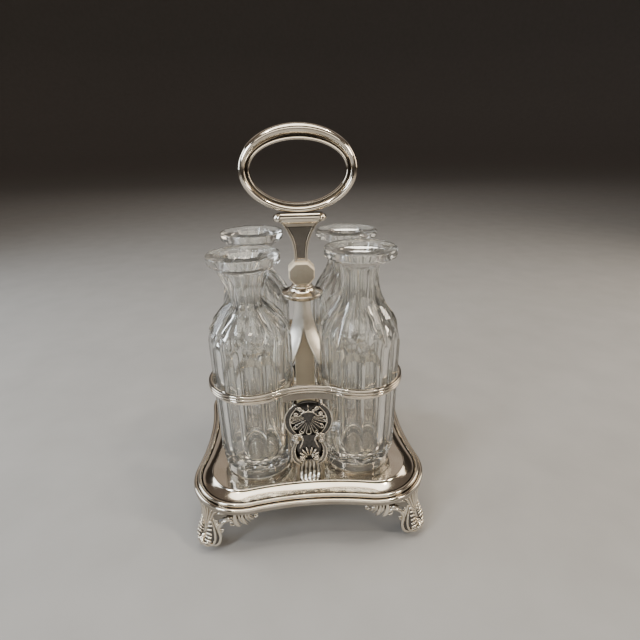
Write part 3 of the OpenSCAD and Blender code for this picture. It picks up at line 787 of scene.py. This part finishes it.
def make_bracket(side, turn):
    """Cast bracket: a shell medallion, a waist, a palmette between scrolls and a leafy foot."""
    ring_z = rail_high - 22.7  # middle of the medallion
    low_z = ring_z - 27.6  # root of the palmette
    half = Shape()

    def lay(path, z=ring_z):
        """A path drawn round the medallion's middle or the palmette's root, put in its place."""
        return np.asarray(path, float) + (0, z)

    def ringlet(x, z, r, start, turns, thick=0.5):
        """A small raised spiral."""
        path = upright(curl((x, z), r, start, turns, 0.3), 1.3)
        half.tube(path, [thick, thick, thick * 0.8], sides=8)

    # the medallion's frame, its end scrolls and the shell inside it
    scroll(half, lay(arc((0, 0), 12.8, 122, 226, 26)), [1.2, 1.5, 1.6, 1.5, 1.1], 1.6)
    ringlet(-7.9, ring_z - 11.9, 1.9, 60, 1.2, 0.6)
    ringlet(-5.6, ring_z - 10.7, 1.0, -60, 1.1)
    ringlet(-5.3, ring_z + 8.3, 1.3, -70, 1.3)
    ringlet(-2.9, ring_z + 6.9, 0.9, -30, -1.2, 0.4)
    ringlet(-7.3, ring_z + 4.7, 1.3, -110, -1.3)
    for root, tip, width in (((-1.1, -1.8), (-4.9, -9.4), 1.25), ((-2.0, -0.4), (-9.0, -5.6), 1.2),
                             ((-2.6, 1.2), (-10.6, -1.0), 0.95),
                             ((-3.0, 2.2), (-10.0, 2.2), 0.8)):
        hollow_rib(half, lay(root), lay(tip), width)
    ridge = smooth([(-8.6, 3.2), (-5.6, 3.2), (-3.6, 5.2), (-1.6, 6.0), (0.3, 6.1)], 4)
    half.tube(upright(lay(ridge), 1.2), [0.25, 0.4, 0.45, 0.45, 0.4], sides=8)
    # the lower scroll with its curls, and the palmette's ribs
    down = smooth([(-8.2, 10.4), (-9.8, 6.6), (-9.9, 2.2), (-8.6, -1.8), (-5.6, -4.9)], 6)
    scroll(half, lay(down, low_z), [0.6, 0.9, 1.1, 1.2, 1.0], 1.5, 0.8)
    ringlet(-7.5, low_z + 11.9, 1.4, 200, -1.3, 0.55)
    ringlet(-4.2, low_z - 1.3, 1.5, 130, 1.3, 0.55)
    for angle, length in ((13, 7.6), (37, 7.4), (61, 6.8), (84, 6.0)):
        a = math.radians(90 + angle)
        lean = np.array((math.cos(a), math.sin(a)))
        teardrop(half, lay(lean * 1.3, low_z), lay(lean * length, low_z), 0.3, 0.72, 1.5)
    waist = smooth([(-5.6, -11.2), (-3.9, -13.0), (-4.1, -16.0), (-5.9, -20.6)], 5)
    half.tube(upright(lay(waist), 1.3), [0.5, 0.7, 0.6, 0.55, 0.3], sides=8)
    shape = half.mirrored()
    hollow_rib(shape, (0, ring_z - 3.2), (0, ring_z - 10.3), 1.45, bead=False)
    for z in (7.4, 9.9):
        shape.tube(upright(lay([(-0.5, z), (0, z), (0.5, z)]), 1.0), [0.5, 0.9, 0.5])
    # Painted shade: plates dark all over fill the medallion and the palmette behind the ornament.
    plate(shape, arc((0, ring_z), 12.6, 0, 355, 71), 0.15, 1.6)
    t = circle(28)
    plate(shape, np.c_[9.4 * np.cos(t), low_z + 3.4 + 9.0 * np.sin(t)], 0.1, 1.5)
    u = np.linspace(-1, 1, 9)
    dished = -(0.7 + 0.5 * u ** 2)
    # Painted shade over the dished waist.
    shape.loft([level(np.r_[np.c_[u * -x, dished], np.c_[u * x, np.full(9, 1.2)]], ring_z + z)
                for x, z in waist], 1.0)
    # leafy foot that turns out on to the tray
    drop = low_z - 2.4 - floor_top
    spine = smooth([(0.2, drop), (0.6, drop * 0.62), (1.9, drop * 0.32), (4.1, drop * 0.1),
                    (6.2, 0.05)], 6)
    shares = np.linspace(0, 1, len(spine))
    widths = np.interp(shares, [0, 0.15, 0.5, 0.8, 1], [4.4, 5.9, 6.7, 6.6, 5.4])
    u = np.linspace(-1, 1, 49)
    ones = np.ones(len(u))
    lobes = np.abs(np.cos(2.5 * math.pi * u))
    rings, shade = [], []
    for i, ((out, up), w) in enumerate(zip(spine, widths)):
        f = i / (len(spine) - 1)
        swell = math.sin(math.pi * min(0.12 + f * 0.95, 1)) ** 0.5
        rise = 0.25 + (1.15 * lobes + 0.35 * np.cos(10 * math.pi * u + 6 * f)) * swell
        tip = 0.9 * lobes * f ** 3
        over, away = math.sin(f * 1.35), math.cos(f * 1.35)
        crest = np.maximum(floor_top + up + rise * over, floor_top)
        front = np.c_[u * w, -(out + rise * away + tip), crest]
        under = max(floor_top + up - 0.8 * over, floor_top + 0.02)
        back = np.c_[u[::-1] * w, -(out - away) * ones, under * ones]
        rings.append(np.concatenate([front, back]))
        # Painted shade and patina between the leaf's lobes, and painted shade on its back.
        shade.append(np.concatenate([(1 - lobes) ** 1.2, 0.6 * ones]))
    shape.loft(rings, shade)
    # Painted shade and patina: above the foot, points lying further back behind the raised ornament
    # are darker.
    shape.shade_patina(lambda p: np.where(p[:, 2] > low_z - 4, 1.55 + p[:, 1], 0))
    back = rail_mid + 0.6
    shape.move(lambda p: turned(p + (0, -back, 0), turn))
    piece("medallion_bracket_" + side, shape, ["bracket_" + side], cast_silver,
          sharp=50)


# ---------------------------------------------------------------- cast feet


# Up the toe: height, half of its width, reach outwards and depth of the groove down its front.
TOE = np.array([
    (0, 2.6, 1.2, 0), (1.1, 4.0, 2.6, 0), (3, 6.2, 4.9, 0), (6, 8.2, 7.4, 0), (9.5, 8.9, 8.5, 0.02),
    (11.5, 8.8, 8.2, 0.38), (14, 8.3, 7.3, 0.5), (17, 7.3, 5.8, 0.45), (20.5, 6.2, 4.0, 0.2),
    (24, 5.6, 2.6, 0), (27, 6.2, 1.8, 0), (30, 7.6, 1.6, 0), (33.3, 10.5, 2.0, 0)])


def on_toe(path, lift=0.0):
    """Points given as (degrees round the toe, height), lifted off its surface. The toe faces -Y."""
    turn, z = np.asarray(path, float).T
    across, out, groove = (np.interp(z, TOE[:, 0], TOE[:, i]) for i in (1, 2, 3))
    keep = 1 - groove * np.exp(-(turn / 24) ** 2)
    t = np.radians(turn)
    return np.c_[(across * keep + lift) * np.sin(t), -(out * keep + lift) * np.cos(t), z]


def toe_shell(shape, top):
    """The toe: a tongue down its front, a fan of ribs each side in rolled rims, and a leaf."""
    turns = np.linspace(-90, 90, 61)
    rings, shade = [], []
    for z in np.concatenate([np.linspace(0, 24, 33), np.linspace(25.5, top, 6)]):
        skin = on_toe(level(turns, z))
        deep = 2.0 + 3.5 * min(1, max(0, (z - 18) / 8))
        back = [(skin[-1, 0] * 0.8, deep, z), (0, deep + 0.5, z), (skin[0, 0] * 0.8, deep, z)]
        rings.append(np.concatenate([skin, back]))
        # Painted shade and patina darken the shell between the ribs outside the tongue; painted
        # shade darkens the tongue more the higher it runs, and the back.
        tongue = 13 + 70 * np.clip((z - 17) / 7, 0, 1) ** 1.5
        plain = np.clip((z - 20) / 6, 0.1, 0.45)
        shade.append(np.concatenate([np.where(np.abs(turns) > tongue, 0.97, plain), [0.4] * 3]))
    shape.loft(rings, shade)
    outer = smooth([(66, 24.5), (80, 20.5), (89, 14.0), (86, 8.0), (68, 4.0), (42, 2.0), (14, 2.0),
                    (0, 2.6)], 6)
    inner = smooth([(52, 23.0), (63, 19.0), (67, 14.0), (62, 9.4), (46, 6.2), (26, 5.2),
                    (12, 6.6)], 6)
    leaf = smooth([(4, 10.6), (15, 8.6), (27, 6.0), (36, 4.6)], 5)

    def bar(s, path, lift, radii, sides=8):
        """A raised bar on one side s of the toe."""
        shape.tube(on_toe(path * (s, 1), lift), radii, up=(0, 0, 1), sides=sides)

    for s in (-1, 1):
        bar(s, outer, 0.2, [0.6, 1.0, 1.15, 1.15, 1.0, 0.85, 0.7], 10)
        bar(s, inner, 0.3, [0.35, 0.6, 0.75, 0.75, 0.7, 0.6, 0.4], 10)
        for k in range(7):
            low, high = 19.6 - 1.85 * k, 21.8 - 2.35 * k
            bend = low * 0.6 + high * 0.4 + 0.5
            rib = smooth([(13 + 0.6 * k, low), (27, bend), (42, high + 0.3), (54 - k, high)], 4)
            bar(s, rib, 0.3, [0.3, 0.55, 0.7, 0.75, 0.45])
        for z in (22.6, 19.6, 16.4):
            bud = [(s * 84, z - 1.2), (s * 95, z), (s * 102, z + 1.6)]
            shape.tube(on_toe(smooth(bud, 4), 0.7), [0.5, 1.05, 0.4], up=(0, -1, 0), sides=8)
        for k in (10, 32, 56):
            vein = smooth([(s * k * 0.5, 20.5), (s * k * 0.8, 24), (s * k, 28),
                           (s * k * 1.2, top - 0.6)], 4)
            shape.tube(on_toe(vein, 0.1), [0.2, 0.6, 0.75, 0.6], up=(0, -1, 0), sides=8)
        bar(s, leaf, 0.7, [0.6, 1.0, 0.95, 0.3])
    middle = on_toe(smooth([(0, 11.6), (0, 9.4), (0, 6.8), (0, 5.0)], 5), 0.2)
    middle[:, 1] -= np.linspace(0, 1, len(middle)) ** 2 * 1.6
    shape.tube(middle, [0.7, 1.3, 1.2, 0.35], up=(1, 0, 0), sides=10)


def leafy_wing(shape, top, plane):
    """An arch that springs from the toe, and five leaf tips and a curl under a cove."""

    def bar(path, out, radii, flat=1.0, sides=10):
        """A bar along the wing's front."""
        shape.tube(upright(path, plane + out), radii, flat=flat, sides=sides)

    arch = smooth([(-58.8, 11.0), (-58.6, 15.5), (-57.2, 19.6), (-54.6, 22.4), (-51.4, 23.6),
                   (-49.0, 22.4)], 6)
    bar(arch, 0.4, [0.7, 1.0, 1.1, 1.1, 1.0, 0.8, 0.6])
    bar(arch + (0.7, 2.0), 0.2, [0.3, 0.5, 0.55, 0.55, 0.4], sides=8)
    bar(curl((-49.4, 21.2), 2.0, 80, -1.2, 0.45), 0.7, [0.65, 0.6, 0.5, 0.4], sides=8)
    bar([(-52.8, 25.2), (-51.4, 25.6), (-50.2, 25.4)], 0.6, [0.7, 1.2, 0.7])
    bar(smooth([(-57.0, 14.4), (-56.2, 15.5), (-55.6, 17.0)], 4), 0.5, [0.8, 1.25, 0.6])
    for x, z, fat in ((-45.6, 18.4, 1.6), (-43.0, 20.4, 0.6), (-41.0, 19.6, 1.0),
                      (-38.9, 22.0, 0.65), (-37.0, 23.4, 0.85)):
        bend = (x - 2.1, (z + 28) / 2 + 0.8)
        leaf = smooth([(x - 1.9, 28.2), bend, (x - 0.9, z + 1.8), (x + 1.1, z)], 5)
        out = np.linspace(0.1, 1.0, len(leaf))
        bar(leaf, out, [fat * 0.5, fat * 0.9, fat, fat * 0.75, 0.2], flat=0.8)
        bar(leaf + (0.5 * fat, 1.4), out, [0.1, 0.3, 0.35, 0.3, 0.1], sides=6)
    bar(curl((-34.9, 26.4), 1.8, 200, 1.1), 0.3, [0.6, 0.5, 0.35], sides=8)
    cove = smooth([(-58.5, 28.6), (-55.0, 29.0), (-50.0, 29.4), (-42.0, 29.8), (-35.0, 30.4)], 4)
    bar(cove, -0.7, [0.6, 1.1, 1.2, 1.1, 0.7])
    lower = smooth([(-61.0, 22.0), (-58.0, 23.4), (-53.0, 24.6), (-48.5, 24.0), (-44.3, 22.6),
                    (-40.0, 24.2), (-36.5, 27.4), (-34.0, 31.0)], 4)
    web = np.concatenate([lower, [(-34.0, top), (-61.0, top)]])
    # Painted shade: a dark web behind the leaves, under the cove.
    shape.loft([upright(web, plane - 1.6), upright(web, plane - 0.6)], 0.75)


def make_foot(corner, turn):
    """Scrolled foot with a shell on its toe, and two leafy wings under the tray's border."""
    top = border_low - 0.02
    shape = Shape()
    toe_shell(shape, top)
    shape.move(lambda p: turned(p, -45) + (-foot_centre, -foot_centre, 0))
    side = Shape()
    leafy_wing(side, top, foot_centre + 5.5)
    points, shade_and_patina = np.concatenate(side.points), np.concatenate(side.shade_and_patina)
    shape.add(points, side.faces, shade_and_patina)
    shape.add(points[:, [1, 0, 2]], side.faces, shade_and_patina)
    shape.move(lambda p: turned(p, turn))
    piece("shell_foot_" + corner, shape, ["foot_" + corner], cast_silver,
          sharp=50)


# ---------------------------------------------------------------- bottles

FLUTES = 10
HALF_FLUTE = math.pi / FLUTES
COLUMNS = 20 * FLUTES
BODY_R = 24.9  # radius at the top of the straight body
BODY_TOP = 84  # heights in this part are above the bottle's foot
NECK_Z = 118  # above here the body's flutes have died away
# For each bottle: the outline of its shoulder and neck, then of its flare, as (radius, height); the
# height where the neck's flutes stop; the height of its top; and the radius of its rim. The four
# are a matched set that isn't quite equal.
UPPER = {
    "front_left": (
        [(BODY_R, BODY_TOP), (24.8, 92), (24.3, 97), (22.9, 100.3), (20.5, 103.5), (16.3, 108.5),
         (13.3, 111.5), (11.4, 114.2), (10.8, 119), (11.3, 122.5)],
        [(12.2, 124.8), (13.3, 127), (14.2, 129.4), (15.2, 131.6), (17.2, 134), (20.4, 136.6)],
        134.0, 141.4, 20.7),
    "front_right": (
        [(BODY_R, BODY_TOP), (24.7, 92), (23.8, 97.5), (20.3, 102.8), (16.8, 107.6), (14.0, 112.5),
         (12.2, 117.5), (11.3, 122), (11.2, 128), (11.3, 132.8)],
        [(12.4, 134.2), (14.4, 135.3), (17.4, 136.4), (20.6, 138.4)],
        133.2, 143.0, 20.8),
    "back_left": (
        [(BODY_R, BODY_TOP), (24.7, 93), (23.8, 98), (22.1, 101.5), (17.5, 107.6), (13.6, 112.6),
         (11.3, 117.6), (11.0, 122), (11.4, 126)],
        [(12.6, 128.4), (15.0, 130.6), (18.6, 133.2), (21.6, 135.8)],
        126.6, 140.5, 21.7),
    "back_right": (
        [(BODY_R, BODY_TOP), (24.6, 93), (23.4, 98), (21.4, 100.6), (19.5, 103.6), (15.7, 110),
         (13.4, 115.6), (12.6, 121), (12.5, 127), (12.8, 129.6)],
        [(13.6, 131.4), (16.0, 133.0), (19.2, 134.4), (21.4, 135.8)],
        130.4, 139.6, 21.6),
}


def make_bottle(corner, turn):
    """Cut-glass bottle: fluted body, neck flutes that end in petals on the shoulder, a flat rim."""
    shoulder, flare, plain_from, top, rim = UPPER[corner]
    lower = [(20.6, 0.0), (21.5, 0.3), (21.9, 1.1), (21.9, 2.5), (21.9, 4.5), (21.9, 6.2),
             (22.2, 6.9), (22.9, 7.6), (23.6, 8.4), (24.0, 9.4), (24.1, 10.6), (24.2, 13),
             (24.2, 17)]
    lower += [(24.2 + 0.7 * (z - 17) / (BODY_TOP - 17), z) for z in np.arange(21, BODY_TOP, 4.0)]
    upper = smooth(shoulder, 8)
    edge = [(rim, top - 3.8), (rim, top - 0.7), (rim - 0.15, top - 0.25), (rim - 0.6, top)]
    lip = np.concatenate([smooth(flare, 4), edge])
    outer = np.concatenate([lower, upper, lip])
    flat_top = np.array([(rim - 2.0, top), (15.5, top - 0.1), (12.6, top - 0.2), (12.3, top - 0.5)])
    funnel = smooth([(12.0, top - 1.6), (10.6, top - 6.0), (8.4, top - 11.0), (7.1, top - 16)], 4)
    bore = np.array([(7.0, NECK_Z), (7.0, 112.0)])
    inside = smooth([(7.2, 108.5), (9.4, 105), (14.0, 100.5), (18.2, 95.5), (20.2, 89),
                     (20.6, 80)], 6)
    well_wall = np.array([(20.4, 60.0), (20.2, 40.0), (20.0, 20.0), (19.6, 15.0)])
    bottom = smooth([(18.8, 12.6), (16.6, 11.0), (12.0, 10.4), (6.0, 10.9), (2.0, 11.2)], 4)
    inner = np.concatenate([flat_top, funnel, bore, inside, well_wall, bottom])

    angles = np.arange(COLUMNS) * 2 * math.pi / COLUMNS
    petal = (angles + HALF_FLUTE) % (2 * HALF_FLUTE) - HALF_FLUTE
    body = angles % (2 * HALF_FLUTE) - HALF_FLUTE
    petal_dish = (1 + 1.3 * petal ** 2) / (1 + 1.3 * HALF_FLUTE ** 2)
    body_dish = (1 + 0.85 * body ** 2) / (1 + 0.85 * HALF_FLUTE ** 2)
    start_r, start = shoulder[3]  # the neck's flutes run out into the shoulder below here
    rings = []
    for r, z in outer:
        blank = np.full(COLUMNS, r)
        fade = min(1.0, max(0.0, (plain_from - z) / 1.6))
        grown = r if z >= start else start_r + 0.5 * (start - z)
        cut = grown * (petal_dish * fade + (1 - fade))
        flute = (r if z < BODY_TOP else BODY_R + 0.012 * (z - BODY_TOP)) * body_dish
        low_end = min(1.0, max(0.0, (z - 6.6) / 1.2))
        flute = flute * low_end + 30 * (1 - low_end)
        if z > NECK_Z:
            flute = blank
        rings.append(np.minimum(np.minimum(blank, cut), flute))
    rings += [np.full(COLUMNS, r) for r, z in inner]
    heights = np.concatenate([outer[:, 1], inner[:, 1]]) + bottle_low
    points = [level(np.c_[-well + ring * np.cos(angles), -well + ring * np.sin(angles)], z)
              for ring, z in zip(rings, heights)]
    tips = [(-well, -well, bottle_low + 0.4), (-well, -well, bottle_low + 11.2)]
    shape = Shape()
    shape.add(np.concatenate(points + [tips]), tipped(len(points), COLUMNS))
    shape.move(lambda p: turned(p, turn))
    piece("cut_bottle_" + corner, shape, ["bottle_" + corner], clear_glass,
          body="bottle_" + corner + "_body", sharp=14)


# ---------------------------------------------------------------- floor, light and camera


MIDDLE = Vector((0, 0, 0.1))  # the point the lights face, in metres


def make_floor():
    """A pale floor, in metres, that curves up far away, so that no edge shows."""
    rings = [(0.5, 0), (2, 0), (4, 0), (5, 0.06), (5.8, 0.3), (6.3, 0.75), (6.5, 1.3), (6.5, 5.4)]
    t = circle(96)
    points = np.concatenate([level(np.c_[r * np.cos(t), r * np.sin(t)], z) for r, z in rings])
    mesh = bpy.data.meshes.new("studio_floor")
    faces = quads(len(rings), len(t)) + [tuple(range(len(t)))]
    mesh.from_pydata(points.tolist(), [], faces)
    mesh.materials.append(plain_floor("pale_floor"))
    mesh.shade_smooth()
    floor = bpy.data.objects.new("studio_floor", mesh)
    scene.collection.objects.link(floor)


def soft_light(name, form, place, size, watts, colour):
    """An area light that faces the set."""
    data = bpy.data.lights.new(name, "AREA")
    data.shape = form
    data.size, data.size_y = size
    data.energy = watts
    data.color = colour
    light = bpy.data.objects.new(name, data)
    light.location = place
    light.rotation_euler = (MIDDLE - Vector(place)).to_track_quat("-Z", "Y").to_euler()
    scene.collection.objects.link(light)


def make_light():
    """A dim warm room, a ceiling light, panels all round and two small sparkles for the glass."""
    world = bpy.data.worlds.new("studio")
    world.use_nodes = True
    background = world.node_tree.nodes["Background"]
    background.inputs["Color"].default_value = (0.11, 0.088, 0.072, 1)
    background.inputs["Strength"].default_value = 1.0
    scene.world = world
    soft_light("ceiling", "ELLIPSE", (0, -0.05, 1.0), (0.9, 0.7), 6.5, (1.0, 0.94, 0.83))
    soft_light("front_fill", "RECTANGLE", (0.05, -1.1, 0.55), (1.1, 0.4), 3.0, (1.0, 0.93, 0.82))
    spot = (0.05, 0.05)
    soft_light("sparkle_left", "ELLIPSE", (-0.32, -0.32, 0.95), spot, 1.3, (1.0, 0.95, 0.86))
    soft_light("sparkle_right", "ELLIPSE", (0.38, -0.12, 0.95), spot, 1.3, (1.0, 0.93, 0.82))
    soft_light("back_panel", "RECTANGLE", (0, 1.6, 1.15), (2.4, 1.0), 2.4, (1.0, 0.88, 0.77))
    panel = (0.45, 0.56)
    soft_light("panel_left", "RECTANGLE", (-0.85, 0.15, 0.46), panel, 4.2, (0.88, 0.94, 1.0))
    soft_light("panel_right", "RECTANGLE", (0.85, 0.15, 0.46), panel, 2.8, (1.0, 0.86, 0.69))
    soft_light("window_left", "ELLIPSE", (-0.75, -0.6, 0.65), (0.22, 0.45), 4.5, (0.86, 0.93, 1.0))
    soft_light("lamp_right", "ELLIPSE", (0.7, -0.5, 0.6), (0.15, 0.25), 2.2, (1.0, 0.88, 0.72))


def make_camera():
    """The photograph's view: close in front of the set and looking down on it."""
    data = bpy.data.cameras.new("camera")
    data.sensor_width = 36
    data.lens = 24.37
    data.clip_start = 0.01
    camera = bpy.data.objects.new("camera", data)
    pitch, yaw, roll = math.radians(-23.02), math.radians(-3.75), math.radians(-0.96)
    flat = math.cos(pitch)
    look = Vector((-math.sin(yaw) * flat, math.cos(yaw) * flat, math.sin(pitch)))
    camera.location = (-0.00624, -0.27123, 0.2409)
    camera.rotation_mode = "QUATERNION"
    camera.rotation_quaternion = look.to_track_quat("-Z", "Y") @ Quaternion((0, 0, 1), roll)
    scene.collection.objects.link(camera)
    scene.camera = camera


make_tray()
make_border()
make_rail()
for side, turn in SIDES.items():
    make_fascia(side, turn)
    make_bracket(side, turn)
for corner, turn in CORNERS.items():
    make_foot(corner, turn)
    make_ring(corner, turn)
    make_strap(corner, turn)
    make_bottle(corner, turn)
make_column()
make_collar()
make_neck()
make_knop()
make_stem()
make_cap()
make_loop()
for name in ("tie_rod", "tie_washer", "tie_nut", "bracket_nuts"):
    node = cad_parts[name]
    node.data.materials.clear()
    node.data.materials.append(dull_steel)
make_floor()
make_light()
make_camera()
